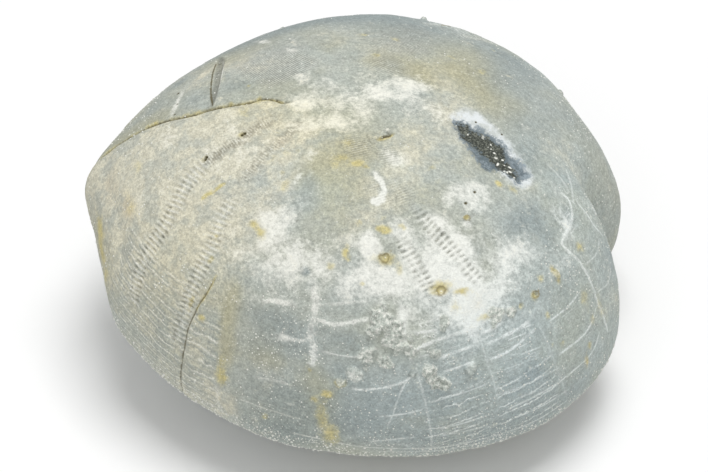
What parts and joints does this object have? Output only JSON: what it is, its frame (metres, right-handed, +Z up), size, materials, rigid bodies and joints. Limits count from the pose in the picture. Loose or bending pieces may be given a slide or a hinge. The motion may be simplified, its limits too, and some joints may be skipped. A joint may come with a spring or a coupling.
{
  "type": "fossil sea urchin",
  "caption": "Inflated heart-shaped fossil sea urchin: a domed stone test with front groove, long pored petals, cracks, a worn dark hollow and stuck lumps, resting on its underside.",
  "frame": {"origin": "centre of the bounding box in plan, on the plane the fossil rests on", "axes": "+X points to the front, where the groove notches the outline; -X to the blunt rear; +Y to the animal's left side; +Z up through the apex"},
  "size_m": [0.092, 0.089, 0.0517],
  "materials": {
    "fossil_stone": "matte blue-grey limestone with chalky white, cream and ochre patches"
  },
  "bodies": {
    "root": {"fossil_urchin": "fossil_stone"}
  },
  "joints": []
}
